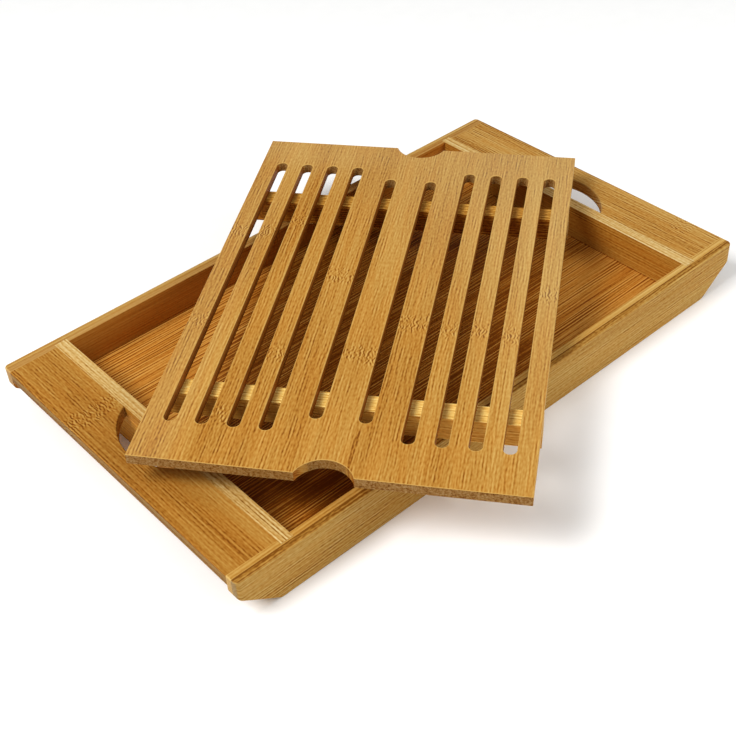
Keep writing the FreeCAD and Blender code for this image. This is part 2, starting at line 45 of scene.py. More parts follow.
class Graph:
    """One material, and short calls that add its nodes."""

    def __init__(self, name):
        self.material = bpy.data.materials.new(name)
        self.material.use_nodes = True
        self.nodes = self.material.node_tree.nodes
        self.links = self.material.node_tree.links
        self.nodes.clear()

    def add(self, kind, **settings):
        """A node with the given settings."""
        node = self.nodes.new(kind)
        for name, value in settings.items():
            setattr(node, name, value)
        return node

    def feed(self, socket, value):
        """Sets a socket to a value, or links it to another socket."""
        if isinstance(value, bpy.types.NodeSocket):
            self.links.new(value, socket)
        elif value is not None:
            socket.default_value = value

    def math(self, operation, first, second=None, third=None):
        """The result of one sum."""
        node = self.add("ShaderNodeMath", operation=operation)
        for socket, value in zip(node.inputs, (first, second, third)):
            self.feed(socket, value)
        return node.outputs[0]

    def plus(self, first, *others):
        """Numbers added up from left to right."""
        total = first
        for other in others:
            total = self.math("ADD", total, other)
        return total

    def minus(self, first, second):
        """One number less another."""
        return self.math("SUBTRACT", first, second)

    def times(self, first, second):
        """Two numbers multiplied."""
        return self.math("MULTIPLY", first, second)

    def unsigned(self, value):
        """A number without its sign."""
        return self.math("ABSOLUTE", value)

    def apart(self, value, place):
        """How far a number is from a place, on either side."""
        return self.unsigned(self.minus(value, place))

    def span(self, value, low, high, start=0.0, end=1.0):
        """Eases from start to end while the value goes from low to high."""
        node = self.add("ShaderNodeMapRange", interpolation_type="SMOOTHSTEP")
        for socket, item in zip(node.inputs, (value, low, high, start, end)):
            self.feed(socket, item)
        return node.outputs[0]

    def parts(self, vector):
        """The three numbers of a vector."""
        node = self.add("ShaderNodeSeparateXYZ")
        self.feed(node.inputs[0], vector)
        return node.outputs[:3]

    def vector(self, x, y, z):
        """A vector of three numbers."""
        node = self.add("ShaderNodeCombineXYZ")
        for socket, value in zip(node.inputs, (x, y, z)):
            self.feed(socket, value)
        return node.outputs[0]

    def scaled(self, vector, factors, shift=(0, 0, 0)):
        """A vector with each number multiplied, then shifted."""
        node = self.add("ShaderNodeVectorMath", operation="MULTIPLY_ADD")
        for socket, value in zip(node.inputs, (vector, factors, shift)):
            self.feed(socket, value)
        return node.outputs[0]

    def noise(self, vector, grain, seed, detail=0.0, roughness=0.5):
        """Soft noise whose features have the given sizes along two or three axes."""
        factors = [1 / length for length in grain] + [1.0] * (3 - len(grain))
        place = self.scaled(vector, factors, [seed * share for share in SEED_SHIFT])
        node = self.add("ShaderNodeTexNoise", noise_dimensions=f"{len(grain)}D")
        self.feed(node.inputs["Vector"], place)
        self.feed(node.inputs["Scale"], 1.0)
        self.feed(node.inputs["Detail"], detail)
        self.feed(node.inputs["Roughness"], roughness)
        return node.outputs["Fac"]

    def centred_noise(self, vector, grain, seed, **settings):
        """Soft noise round zero."""
        return self.minus(self.noise(vector, grain, seed, **settings), 0.5)

    def steps(self, value, levels):
        """A number looked up from levels: a place from 0 to 1, and the number from there on."""
        node = self.add("ShaderNodeValToRGB")
        node.color_ramp.interpolation = "CONSTANT"
        greys = [(place, (level, level, level, 1)) for place, level in levels]
        self.fill(node.color_ramp, greys)
        self.feed(node.inputs[0], value)
        return node.outputs[0]

    def tones(self, value, stops):
        """A colour looked up between stops of a place and a colour."""
        node = self.add("ShaderNodeValToRGB")
        self.fill(node.color_ramp, stops)
        self.feed(node.inputs[0], value)
        return node.outputs[0]

    @staticmethod
    def fill(ramp, stops):
        """Puts stops into a ramp in place of its own two."""
        while len(ramp.elements) > 1:
            ramp.elements.remove(ramp.elements[-1])
        for index, (place, colour) in enumerate(stops):
            stop = ramp.elements[0] if index == 0 else ramp.elements.new(place)
            stop.position = place
            stop.color = colour

    def blend(self, share, first, second, mode="MIX"):
        """Two colours mixed by a share."""
        node = self.add("ShaderNodeMix", data_type="RGBA", blend_type=mode)
        self.feed(node.inputs["Factor"], share)
        self.feed(node.inputs["A"], first)
        self.feed(node.inputs["B"], second)
        return node.outputs["Result"]

    def tinted(self, share, colour, tint):
        """A colour multiplied by a tint, by a share."""
        return self.blend(share, colour, (*tint, 1.0), mode="MULTIPLY")

    def surface(self, colour, roughness, **fixed):
        """The shader with its colour, its roughness and plain values for its other sockets."""
        shader = self.add("ShaderNodeBsdfPrincipled")
        self.feed(shader.inputs["Base Color"], colour)
        self.feed(shader.inputs["Roughness"], roughness)
        for name, value in fixed.items():
            shader.inputs[name].default_value = value
        output = self.add("ShaderNodeOutputMaterial")
        self.feed(output.inputs["Surface"], shader.outputs[0])
        return shader


# Bamboo
# ------

# A spot on a piece: where it lies across the fibres, along them and up, in millimetres, and how
# far its face turns towards each of these, from -1 to 1.
Spot = namedtuple("Spot", "across along height facing_across facing_along facing_up")

# The tones of a wood from dark to light, as factors of its middle colour. It darkens to a redder
# brown and lightens to cream.
MIDDLE_TONE = 0.5
TONE_STEPS = (
    (0.0, (0.42, 0.27, 0.12)),
    (0.25, (0.80, 0.68, 0.48)),
    (MIDDLE_TONE, (1.0, 1.0, 1.0)),
    (0.75, (1.14, 1.28, 1.60)),
    (1.0, (1.30, 1.60, 2.40)),
)

# What the grain is made of: widths across the fibres and lengths along them, in millimetres.
FIBRE_WIDTH = 1.15
RAIL_FIBRE_WIDTH = 1.25
SPECK_LENGTH = 3.2
STIPPLE_LENGTH = 3.0
BAND = (4.5, 160)
CLOUD = (18, 150)
PATCH = (9, 60)
SHEEN = (5, 40)
PORE = (1.3, 1.3, 1.3)

# Each layer of the grain has its own draw of noise: this is added to the look's seed.
DRAWS = {
    "knot_rims": 3,
    "knot_sway": 5,
    "long_fibres": 7,
    "bands": 11,
    "clouds": 17,
    "vessels": 23,
    "stipple": 29,
    "pores": 31,
    "sheen": 37,
    "patches": 41,
    "specks": 47,
}

# Strips of the lamination are counted from a place that this times the seed shifts.
STRIP_SHIFT = 3.1

# Vessel lines: how many times as long as the long fibres, the noise at which one sets in and at
# which it is full, and how much it and a fibre stand out in the relief.
VESSEL_LENGTH = 1.6
VESSEL_STARTS = 0.16
VESSEL_FULL = 0.28
VESSEL_RELIEF = -0.6
FIBRE_RELIEF = 2.0

# Knots: the sizes of the noise in their rims and in the fibres round them, how far the rims stray,
# how far a knot's core and its end are from its middle, how far it pushes the fibres aside, and
# its own tone and relief.
KNOT_RIM = (4, 30)
KNOT_SWAY = (4.5, 6.0)
KNOT_STRAY = 20.0
KNOT_CORE = 4.0
KNOT_END = 12.0
KNOT_PUSH = 1.6
KNOT_TONE = -0.03
KNOT_RELIEF = 2.0

# Patches flush redder, by this tint, and a painted sheen may pale the finish towards this colour.
PATCH_SPAN = (0.46, 0.62, 0.0, 0.4)
PATCH_TINT = (1.03, 0.92, 0.76)
PAINTED_SHEEN_COLOUR = (0.85, 0.85, 0.47, 1.0)

# How far up, or along the fibres, a face has to turn for each finish, as spans.
UPRIGHT = (0.1, 0.35, 1.0, 0.0)
CUT_END = (0.6, 0.9)
ARRIS_BELOW = (0.1, 0.4)
ARRIS_ABOVE = (0.88, 0.99, 1.0, 0.0)

# The finish: satin, with a little variation, and hardly any reflection of its own.
ROUGHNESS = 0.48
ROUGHNESS_RANGE = 0.2
SPECULAR = 0.04
BUMP_STRENGTH = 0.35
BUMP_HEIGHT = 0.12


def wood_axes(graph, turn, origin):
    """Places in a piece's own frame, in millimetres, and the way that its faces turn in it.

    X runs across the fibres, Y along them and Z up.
    """
    source = graph.add("ShaderNodeTexCoord")
    mapping = graph.add("ShaderNodeMapping", vector_type="TEXTURE")
    graph.feed(mapping.inputs["Vector"], source.outputs["Object"])
    mapping.inputs["Location"].default_value = (origin[0] * MM, origin[1] * MM, 0)
    mapping.inputs["Rotation"].default_value = (0, 0, turn)
    mapping.inputs["Scale"].default_value = (MM, MM, MM)
    facing = graph.add("ShaderNodeMapping", vector_type="TEXTURE")
    graph.feed(facing.inputs["Vector"], source.outputs["Normal"])
    facing.inputs["Rotation"].default_value = (0, 0, turn)
    return mapping.outputs[0], facing.outputs[0]


def wood_tones(middle):
    """Stops from dark to light round a wood's middle colour."""
    return [
        (place, (*(channel * factor for channel, factor in zip(middle, factors)), 1.0))
        for place, factors in TONE_STEPS
    ]


def answer(test, graph, spot):
    """What a look's own test says of a spot. A plain number holds for every spot."""
    return test(graph, spot) if callable(test) else test


# Tables across a piece reach this far, half of it on each side of its middle. A strip without a
# knot has one this far along the piece, where there is no wood.
TABLE_REACH = 600.0
NO_KNOT = 290.0


def looked_up(graph, across, table, reach):
    """A number from a table of places across a piece and the numbers that hold from there on.

    The numbers are within half the reach of zero.
    """
    share = graph.math("MULTIPLY_ADD", across, 1 / TABLE_REACH, 0.5)
    levels = [(place / TABLE_REACH + 0.5, number / reach + 0.5) for place, number in table]
    return graph.math("MULTIPLY_ADD", graph.steps(share, levels), reach, -reach / 2)


def knot_mask(graph, spot, flat, tables, seed):
    """Where knots lie: bands across the strips, ragged at their rims."""
    rims = graph.noise(flat, KNOT_RIM, seed + DRAWS["knot_rims"], detail=2)
    stray = graph.math("MULTIPLY_ADD", rims, KNOT_STRAY, -KNOT_STRAY / 2)
    mask = None
    for table in tables:
        centre = looked_up(graph, spot.across, table, TABLE_REACH)
        away = graph.unsigned(graph.plus(graph.minus(spot.along, centre), stray))
        band = graph.span(away, KNOT_CORE, KNOT_END, 1.0, 0.0)
        mask = band if mask is None else graph.math("MAXIMUM", mask, band)
    return mask


def crisp(graph, flat, width, length, seed):
    """Thin lines round zero, of a width and a length: noise less half of it from each side."""
    lines = graph.noise(flat, (width, length), seed)
    for side in (-1, 1):
        beside = graph.scaled(flat, (1, 1, 1), (side * width, 0, 0))
        other = graph.noise(beside, (width, length), seed)
        lines = graph.math("MULTIPLY_ADD", other, -0.5, lines)
    return lines


def bamboo(
    name,
    turn,
    middle,
    seed,
    origin=(0, 0),
    speck=0.45,
    fine=0.75,
    width=FIBRE_WIDTH,
    lengths=(16.0, 70.0),
    long_share=0.25,
    medium=0.22,
    broad=0.3,
    lines=0.12,
    strip=21.0,
    strip_contrast=0.06,
    knots=(),
    knot_contrast=1.0,
    shade=None,
    painted_sheen=None,
    sides=None,
    cut=(1.0, 1.1, 1.6),
    cut_contrast=2.2,
    arris_highlight=0.8,
):
    """Laminated bamboo: crisp fibres, darker and lighter vessel lines, strips and knots.

    turn and origin place the piece's own frame, and middle is the wood's middle colour.
    speck, fine, medium, broad and lines are how much specks, fibres, bands, clouds and vessel
    lines show. width and lengths are the fibres' width and their short and long lengths.
    shade changes the tone of a spot, and bloom, a painted sheen, says how much paler its finish
    is.
    sides is the tint of the upright faces and how much of it a spot gets, which on the slotted
    board's slot walls is painted shade, and cut is the tint of cut ends.
    """
    graph = Graph(name)
    tones = wood_tones(middle)
    place, facing = wood_axes(graph, turn, origin)
    spot = Spot(*graph.parts(place), *graph.parts(facing))
    short_length, long_length = lengths

    # The grain goes on round an edge: a height counts as a place across the fibres.
    unfolded = graph.plus(spot.across, spot.height)
    flat = graph.vector(unfolded, spot.along, 0.0)

    # Knots bend the fibres.
    bent = flat
    if knots:
        knot = knot_mask(graph, spot, flat, knots, seed)
        sway = graph.centred_noise(flat, KNOT_SWAY, seed + DRAWS["knot_sway"])
        push = graph.times(graph.times(sway, knot), KNOT_PUSH)
        bent = graph.vector(graph.plus(unfolded, push), spot.along, 0.0)

    # Fine specks, short and long fibres, soft bands and broad clouds.
    specks = graph.centred_noise(bent, (width, SPECK_LENGTH), seed + DRAWS["specks"])
    short = crisp(graph, bent, width, short_length, seed)
    long = crisp(graph, bent, width, long_length, seed + DRAWS["long_fibres"])
    share = answer(long_share, graph, spot)
    fibre = graph.math("MULTIPLY_ADD", graph.minus(long, short), share, short)
    band = graph.centred_noise(bent, BAND, seed + DRAWS["bands"])
    cloud = graph.centred_noise(flat, CLOUD, seed + DRAWS["clouds"])
    tone = MIDDLE_TONE
    for layer, weight in ((specks, speck), (fibre, fine), (band, medium), (cloud, broad)):
        tone = graph.math("MULTIPLY_ADD", layer, weight, tone)

    # Single dark and light vessel lines.
    vessel = crisp(graph, bent, width, long_length * VESSEL_LENGTH, seed + DRAWS["vessels"])
    dark_lines = graph.span(vessel, VESSEL_STARTS, VESSEL_FULL)
    light_lines = graph.span(vessel, -VESSEL_FULL, -VESSEL_STARTS, 1.0, 0.0)
    tone = graph.math("MULTIPLY_ADD", dark_lines, -lines, tone)
    tone = graph.math("MULTIPLY_ADD", light_lines, lines, tone)
    fibre_relief = graph.times(fibre, FIBRE_RELIEF)
    relief = graph.math("MULTIPLY_ADD", dark_lines, VESSEL_RELIEF, fibre_relief)

    # Each strip of the lamination has its own tone.
    shifted = graph.plus(spot.across, seed * STRIP_SHIFT)
    strip_number = graph.math("FLOOR", graph.math("DIVIDE", shifted, strip))
    chance = graph.add("ShaderNodeTexWhiteNoise", noise_dimensions="1D")
    graph.feed(chance.inputs["W"], graph.plus(strip_number, seed))
    difference = graph.minus(chance.outputs["Value"], 0.5)
    tone = graph.math("MULTIPLY_ADD", difference, strip_contrast, tone)

    # Knots are a little darker and stippled with short dark and light dashes.
    if knots:
        stipple = crisp(graph, bent, width, STIPPLE_LENGTH, seed + DRAWS["stipple"])
        dashes = graph.times(stipple, knot)
        tone = graph.math("MULTIPLY_ADD", knot, KNOT_TONE, tone)
        tone = graph.math("MULTIPLY_ADD", dashes, knot_contrast, tone)
        relief = graph.math("MULTIPLY_ADD", dashes, KNOT_RELIEF, relief)
    if shade:
        tone = graph.plus(tone, shade(graph, spot))
    colour = graph.tones(tone, tones)

    # Patches flush a little redder, and a painted sheen may make the finish paler.
    flush = graph.noise(flat, PATCH, seed + DRAWS["patches"], detail=1)
    colour = graph.tinted(graph.span(flush, *PATCH_SPAN), colour, PATCH_TINT)
    if painted_sheen:
        colour = graph.blend(painted_sheen(graph, spot), colour, PAINTED_SHEEN_COLOUR)

    # Upright faces show the strips from the side, and the slotted board's slot walls get painted
    # shade.
    level = graph.unsigned(spot.facing_up)
    if sides:
        tint, where = sides
        share = graph.times(graph.span(level, *UPRIGHT), answer(where, graph, spot))
        colour = graph.tinted(share, colour, tint)

    # Cut ends show the vessels as dots.
    cut_end = graph.span(graph.unsigned(spot.facing_along), *CUT_END)
    pores = graph.centred_noise(place, PORE, seed + DRAWS["pores"], detail=1, roughness=0.7)
    end_tone = graph.math("MULTIPLY_ADD", pores, cut_contrast, MIDDLE_TONE)
    end_colour = graph.tinted(1.0, graph.tones(end_tone, tones), cut)
    colour = graph.blend(cut_end, colour, end_colour)

    # Painted highlight and wear: the eased arrises are paler where the finish is thin.
    arris = graph.times(graph.span(level, *ARRIS_BELOW), graph.span(level, *ARRIS_ABOVE))
    palest = tones[-1][1]
    colour = graph.blend(graph.times(arris, arris_highlight), colour, palest)

    sheen = graph.noise(flat, SHEEN, seed + DRAWS["sheen"])
    lowest = ROUGHNESS - ROUGHNESS_RANGE / 2
    roughness = graph.math("MULTIPLY_ADD", sheen, ROUGHNESS_RANGE, lowest)
    shader = graph.surface(colour, roughness, **{SPECULAR_SOCKET: SPECULAR})
    bump = graph.add("ShaderNodeBump")
    bump.inputs["Strength"].default_value = BUMP_STRENGTH
    bump.inputs["Distance"].default_value = BUMP_HEIGHT * MM
    graph.feed(bump.inputs["Height"], relief)
    graph.feed(shader.inputs["Normal"], bump.outputs[0])
    return graph.material


# Where each piece's look changes
# -------------------------------
#
# Places are in millimetres in the piece's own frame. A span is where it begins, where it ends,
# and the tones or shares before and after it. A span of two numbers goes from 0 to 1.

# The knots of the slotted board, as the photograph shows them: how far across a strip begins, and
# how far along it its knot lies. The second table has the strips' second knots.
BOARD_KNOTS = (
    (
        (-300, 57), (-111, 59), (-89.5, 77), (-68, -83), (-46.5, 10), (-16.5, -76),
        (16.5, -39), (46.5, -42), (68, -40), (89.5, -43), (111, 6),
    ),
    (
        (-300, -53), (-111, NO_KNOT), (-89.5, -147), (-68, NO_KNOT),
    ),
)
# The tones of the slotted board's strips: how far across a strip begins, and its tone.
BOARD_STRIPS = (
    (-300, -0.06), (-111, 0.03), (-89.5, -0.05), (-68, 0.0), (-46.5, -0.02), (-16.5, 0.02),
    (14.3, -0.03), (46.5, 0.02), (68, 0.02), (89.5, 0.04), (111, 0.07),
)
# The knots of the handle boards.
LEFT_HANDLE_KNOTS = (((-300, 50),),)
RIGHT_HANDLE_KNOTS = (((-300, NO_KNOT), (226, -99), (242, NO_KNOT)),)

# The slots, mirrored on both sides of the board's middle: how far across they lie, where their
# ends turn, and the rim just outside them, paler as wear and as a painted highlight.
SLOT_PLACES = (16.5, 46.5, 68.0, 89.5, 111.0)
SLOT_RADIUS = 4.5
INNER_SLOT_TURN = 138.3
OUTER_SLOT_TURN = 153.3
RIM_SPAN = (SLOT_RADIUS + 0.4, SLOT_RADIUS + 1.4, 1.0, 0.0)
RIM_FACING = (0.8, 0.95, 0.0, 0.25)

# A glue seam shows beyond the inner slot on the right, open at the near end. It wavers a little.
SEAM_PLACE = 14.3
SEAM_WAVER = 1.4
SEAM_WAVER_GRAIN = (6, 6)
SEAM_WAVER_SEED = 3.0
SEAM_SPAN = (0.4, 1.0, 1.0, 0.0)
SEAM_OPEN = (-152, -146, 1.0, 0.0)
SEAM_TONE = -0.5

# The board's darker near left corner, and where a painted sheen pales its finish.
CORNER_DARK = (-290, -150, -0.07, 0.0)
PAINTED_SHEEN_DIRECTION = (0.6, 0.4)
PAINTED_SHEEN_CORNER = (-10, 130, 0.0, 0.11)
PAINTED_SHEEN_LEFT = (-112, -88, 0.04, 0.0)
PAINTED_SHEEN_END = (120, 180, 0.0, 0.07)

# The board's own long edges lie beyond this, and the walls of its slots face across.
SLOTS_END = (126, 127, 1.0, 0.0)
SLOT_WALL_FACING = (0.7, 0.95)


def rim_wear_and_highlight(graph, spot):
    """Nearness to a slot's rim on the slotted board, 0 to 1: paler as wear and painted highlight.
    """
    aside = graph.unsigned(spot.across)
    ahead = graph.unsigned(spot.along)
    nearest = None
    for place in SLOT_PLACES:
        turn = INNER_SLOT_TURN if place == SLOT_PLACES[0] else OUTER_SLOT_TURN
        sideways = graph.minus(aside, place)
        beyond = graph.math("MAXIMUM", graph.minus(ahead, turn), 0.0)
        square = graph.plus(graph.times(sideways, sideways), graph.times(beyond, beyond))
        away = graph.math("SQRT", square)
        nearest = away if nearest is None else graph.math("MINIMUM", nearest, away)
    return graph.span(nearest, *RIM_SPAN)


def open_seam(graph, spot):
    """The open glue seam of the slotted board, from 0 to 1."""
    along_only = graph.vector(spot.along, 0.0, 0.0)
    waver = graph.noise(along_only, SEAM_WAVER_GRAIN, SEAM_WAVER_SEED)
    off = graph.minus(spot.across, SEAM_PLACE + SEAM_WAVER / 2)
    away = graph.unsigned(graph.math("MULTIPLY_ADD", waver, SEAM_WAVER, off))
    return graph.times(graph.span(away, *SEAM_SPAN), graph.span(spot.along, *SEAM_OPEN))


def board_shade(graph, spot):
    """The slotted board's strips, rims paler as wear and painted highlight, seam and darker
    corner.
    """
    strips = looked_up(graph, spot.across, BOARD_STRIPS, 1.0)
    seamed = graph.math("MULTIPLY_ADD", open_seam(graph, spot), SEAM_TONE, strips)
    rims = graph.times(rim_wear_and_highlight(graph, spot), graph.span(spot.facing_up, *RIM_FACING))
    corner = graph.span(graph.plus(spot.across, spot.along), *CORNER_DARK)
    return graph.plus(seamed, graph.plus(rims, corner))


def board_painted_sheen(graph, spot):
    """Painted sheen: the finish is paler to the right, at the far end and at the two left strips.
    """
    along = graph.times(spot.along, PAINTED_SHEEN_DIRECTION[1])
    corner = graph.math("MULTIPLY_ADD", spot.across, PAINTED_SHEEN_DIRECTION[0], along)
    left = graph.span(spot.across, *PAINTED_SHEEN_LEFT)
    end = graph.span(spot.along, *PAINTED_SHEEN_END)
    edges = graph.math("MAXIMUM", left, end)
    return graph.math("MAXIMUM", graph.span(corner, *PAINTED_SHEEN_CORNER), edges)


def slot_wall_painted_shade(graph, spot):
    """Painted shade on the slot walls, not on the board's own long edges or the slots' ends."""
    inside = graph.span(graph.unsigned(spot.across), *SLOTS_END)
    square_on = graph.span(graph.unsigned(spot.facing_across), *SLOT_WALL_FACING)
    return graph.times(inside, square_on)


# The top of the left handle board: a pale strip beside the end wall, a greyer far half, a stain,
# and a red and a bright line at the nose. Lengths along the fibres are squeezed for the stain's
# middle and for its spread, which is in square millimetres.
LEFT_PALE_STRIP = (-217, -206, 0.0, 0.2)
LEFT_FAR_HALF = (50, 54, 0.0, -0.04)
STAIN_ACROSS = -226.0
STAIN_ALONG = 51.0
STAIN_SQUEEZE = 0.7
STAIN_SPREAD = (4.0, 40.0, -0.12, 0.0)
RED_LINE = (-240.2, -239.4, -0.14, 0.0)
BRIGHT_LINE = -238.5
BRIGHT_LINE_SPAN = (0.4, 1.2, 0.2, 0.0)
LEFT_TOP_FACING = (0.6, 0.9)

# The left handle board's upright nose: a light layer, a darker one under it and one above it.
NOSE_FACING = (0.5, 0.95, 1.0, 0.0)
NOSE_LIGHT = 35.3
NOSE_LIGHT_SPAN = (0.5, 2.2, 0.2, 0.0)
NOSE_LOW = (32.0, 34.5, -0.14, 0.0)
NOSE_HIGH = (36.6, 37.8, 0.0, -0.28)

# The share of long fibres in the left handle board's near half and far half.
LEFT_LONG_FIBRES = (0, 50, 0.9, 0.15)

# The nose of either handle board lies beyond this.
NOSE_PLACE = (240, 242)


def nose_tone(graph, spot):
    """The layers that show on the upright outer edge of the left handle board."""
    light = graph.span(graph.apart(spot.height, NOSE_LIGHT), *NOSE_LIGHT_SPAN)
    low = graph.span(spot.height, *NOSE_LOW)
    high = graph.span(spot.height, *NOSE_HIGH)
    return graph.plus(light, graph.plus(low, high))


def left_handle_shade(graph, spot):
    """The left handle board's strips, lines and stain, and the layers of its nose."""
    pale = graph.span(spot.across, *LEFT_PALE_STRIP)
    far = graph.span(spot.along, *LEFT_FAR_HALF)
    aside = graph.minus(spot.across, STAIN_ACROSS)
    ahead = graph.math("MULTIPLY_ADD", spot.along, STAIN_SQUEEZE, -STAIN_ALONG)
    square = graph.plus(graph.times(aside, aside), graph.times(ahead, ahead))
    stain = graph.span(square, *STAIN_SPREAD)
    red = graph.span(spot.across, *RED_LINE)
    bright = graph.span(graph.apart(spot.across, BRIGHT_LINE), *BRIGHT_LINE_SPAN)
    top = graph.times(graph.plus(red, bright), graph.span(spot.facing_up, *LEFT_TOP_FACING))
    nose = graph.times(nose_tone(graph, spot), graph.span(spot.facing_up, *NOSE_FACING))
    return graph.plus(pale, far, stain, top, nose)


def left_handle_lines(graph, spot):
    """The near half of the left handle board has long straight lines."""
    return graph.span(spot.along, *LEFT_LONG_FIBRES)


def outwards(graph, spot):
    """The outer nose of a handle board."""
    return graph.span(graph.unsigned(spot.across), *NOSE_PLACE)


# The tones of the right handle board's inner and outer strips.
RIGHT_STRIPS = (220, 222, 0.05, -0.03)


def right_handle_shade(graph, spot):
    """The outer strip of the right handle board is a little darker."""
    return graph.span(spot.across, *RIGHT_STRIPS)


# The rails: the near one gets paler to the right, a painted sheen, and its outer strip is darker
# on top. Between the two strips of a rail there is a dark glue line on its upper edge.
NEAR_INNER_PAINTED_SHEEN = (-180, 60, -0.06, 0.14)
NEAR_OUTER_TONE = (-180, 60, -0.40, -0.20)
NEAR_OUTER_FACING = (0.6, 0.95)
GLUE_SPAN = (135.3, 136.4, -0.3, 0.0)
GLUE_FACING = (0.5, 0.9)


def glue_line(graph, spot):
    """The dark line between the two strips of a rail, on its upper edge."""
    glue = graph.span(graph.unsigned(spot.across), *GLUE_SPAN)
    return graph.times(glue, graph.span(spot.facing_up, *GLUE_FACING))


def near_inner_painted_sheen(graph, spot):
    """The near rail's inner strip gets paler to the right, a painted sheen."""
    return graph.span(spot.along, *NEAR_INNER_PAINTED_SHEEN)


def near_outer_shade(graph, spot):
    """The near rail's outer strip is darker on its upper edge, most of all to the left."""
    facing = graph.span(spot.facing_up, *NEAR_OUTER_FACING)
    top = graph.times(facing, graph.span(spot.along, *NEAR_OUTER_TONE))
    return graph.plus(top, glue_line(graph, spot))


# The left one of the two end walls is darker at its near end, and both are a little paler than
# their middle colour.
LEFT_PIECE = (-1, 1, 1.0, 0.0)
WALL_NEAR_END = (-80, 60, -0.14, 0.0)
WALL_TONE = 0.04

# The near one of the two battens is the paler one; the far one is darkened as painted shade.
BATTEN_TONES_AND_SHADE = (-1, 1, -0.36, 0.10)


def wall_shade(graph, spot):
    """The near end of the left end wall is darker."""
    left = graph.span(spot.across, *LEFT_PIECE)
    near = graph.span(spot.along, *WALL_NEAR_END)
    return graph.math("MULTIPLY_ADD", near, left, WALL_TONE)


def batten_tones_and_painted_shade(graph, spot):
    """The tones of the two battens, with painted shade on the far one."""
    return graph.span(spot.across, *BATTEN_TONES_AND_SHADE)


# The tray's floor has a painted shadow where the slotted board covers it, by its places in the
# board's own frame, and is darker at a seam by the far rail and at its rim.
COVERED_ACROSS = (100, 132, 1.0, 0.0)
COVERED_ALONG = (165, 195, 1.0, 0.0)
PAINTED_SHADOW_TONE = (-150, -90, -0.5, -0.35)
FLOOR_SEAM = -124.0
FLOOR_SEAM_SPAN = (0.4, 1.1, -0.4, 0.0)
FLOOR_END = (192.6, 193.8, 0.0, -0.5)
FLOOR_SIDE = (128.4, 129.4, 0.0, -0.5)
FLOOR_FACING = (0.5, 0.9)


def painted_board_shadow(graph, spot):
    """A painted shadow on the tray's floor under the slotted board, by its place in the board's
    frame.
    """
    aside = graph.plus(spot.along, -BOARD_MIDDLE[0])
    ahead = graph.minus(-BOARD_MIDDLE[1], spot.across)
    cosine, sine = math.cos(BOARD_TURN), math.sin(BOARD_TURN)
    across = graph.math("MULTIPLY_ADD", aside, cosine, graph.times(ahead, sine))
    along = graph.math("MULTIPLY_ADD", aside, -sine, graph.times(ahead, cosine))
    inside = graph.times(
        graph.span(graph.unsigned(across), *COVERED_ACROSS),
        graph.span(graph.unsigned(along), *COVERED_ALONG),
    )
    return graph.times(inside, graph.span(along, *PAINTED_SHADOW_TONE))


def floor_shade(graph, spot):
    """The tray's floor has a painted shadow under the slotted board, and is darker at a seam and
    rim.
    """
    seam = graph.span(graph.apart(spot.across, FLOOR_SEAM), *FLOOR_SEAM_SPAN)
    ends = graph.span(graph.unsigned(spot.along), *FLOOR_END)
    long_sides = graph.span(graph.unsigned(spot.across), *FLOOR_SIDE)
    rim = graph.math("MINIMUM", ends, long_sides)
    tone = graph.plus(painted_board_shadow(graph, spot), graph.plus(seam, rim))
    return graph.times(tone, graph.span(spot.facing_up, *FLOOR_FACING))


# Steel
# -----

# Its mottle in metres, its two greys as they look on a screen, 0 to 255, with their stops, and
# its roughness.
STEEL_MOTTLE = (0.0008, 0.0008, 0.0003)
STEEL_SEED = 1.0
STEEL_DARK = (0.3, (150, 152, 155))
STEEL_LIGHT = (0.7, (205, 205, 202))
STEEL_ROUGHNESS = 0.2
STEEL_ROUGHNESS_RANGE = 0.25


def linear(red, green, blue):
    """A colour as it looks on a screen, 0 to 255, in linear values, by the sRGB curve."""
    channels = []
    for value in (red, green, blue):
        share = value / 255
        low = share / 12.92
        high = ((share + 0.055) / 1.055) ** 2.4
        channels.append(low if share <= 0.04045 else high)
    return (*channels, 1.0)


def screw_steel():
    """The zinc plated steel of the screws, faintly mottled."""
    graph = Graph("zinc_plated_steel")
    place = graph.add("ShaderNodeTexCoord").outputs["Object"]
    mottle = graph.noise(place, STEEL_MOTTLE, STEEL_SEED, detail=3)
    stops = [(stop, linear(*grey)) for stop, grey in (STEEL_DARK, STEEL_LIGHT)]
    roughness = graph.math("MULTIPLY_ADD", mottle, STEEL_ROUGHNESS_RANGE, STEEL_ROUGHNESS)
    graph.surface(graph.tones(mottle, stops), roughness, Metallic=1.0)
    return graph.material


# The looks
# ---------

# Shares of long fibres, and the share of a tint that every upright face gets.
MOSTLY_LONG = 0.8
EVENLY_MIXED = 0.5
EVERYWHERE = 1.0

# What three of the rails' four strips have in common.
RAIL_GRAIN = {
    "turn": ALONG_X,
    "speck": 0.2,
    "fine": 0.6,
    "width": RAIL_FIBRE_WIDTH,
    "lengths": (20.0, 110.0),
    "long_share": MOSTLY_LONG,
    "cut_contrast": 0.8,
}

